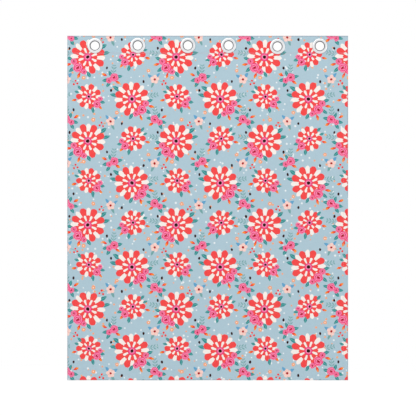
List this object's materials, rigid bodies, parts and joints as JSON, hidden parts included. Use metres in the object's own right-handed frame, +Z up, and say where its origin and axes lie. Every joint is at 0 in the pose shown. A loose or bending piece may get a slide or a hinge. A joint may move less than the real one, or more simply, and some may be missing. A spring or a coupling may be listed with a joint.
{
  "type": "printed eyelet curtain",
  "caption": "Printed curtain panel that hangs flat, with a stiffened heading strip, metal eyelets in it for a rod, and hemmed sides and bottom.",
  "frame": {"origin": "middle of the curtain's top edge, half way through the heading's thickness", "axes": "+X from the left edge to the right edge as seen from the room, +Y away from the room, +Z up"},
  "size_m": [1.304, 0.0115, 1.6],
  "materials": {
    "heading_cloth": "plain woven polyester with a print, folded over a stiff band",
    "panel_cloth": "plain woven polyester with a print, matt",
    "eyelet_metal": "bright nickel, softly polished"
  },
  "bodies": {
    "root": {"heading": "heading_cloth", "panel": "panel_cloth", "eyelet_front_1": "eyelet_metal", "eyelet_front_2": "eyelet_metal", "eyelet_front_3": "eyelet_metal", "eyelet_front_4": "eyelet_metal", "eyelet_front_5": "eyelet_metal", "eyelet_front_6": "eyelet_metal", "eyelet_back_1": "eyelet_metal", "eyelet_back_2": "eyelet_metal", "eyelet_back_3": "eyelet_metal", "eyelet_back_4": "eyelet_metal", "eyelet_back_5": "eyelet_metal", "eyelet_back_6": "eyelet_metal"}
  },
  "joints": []
}
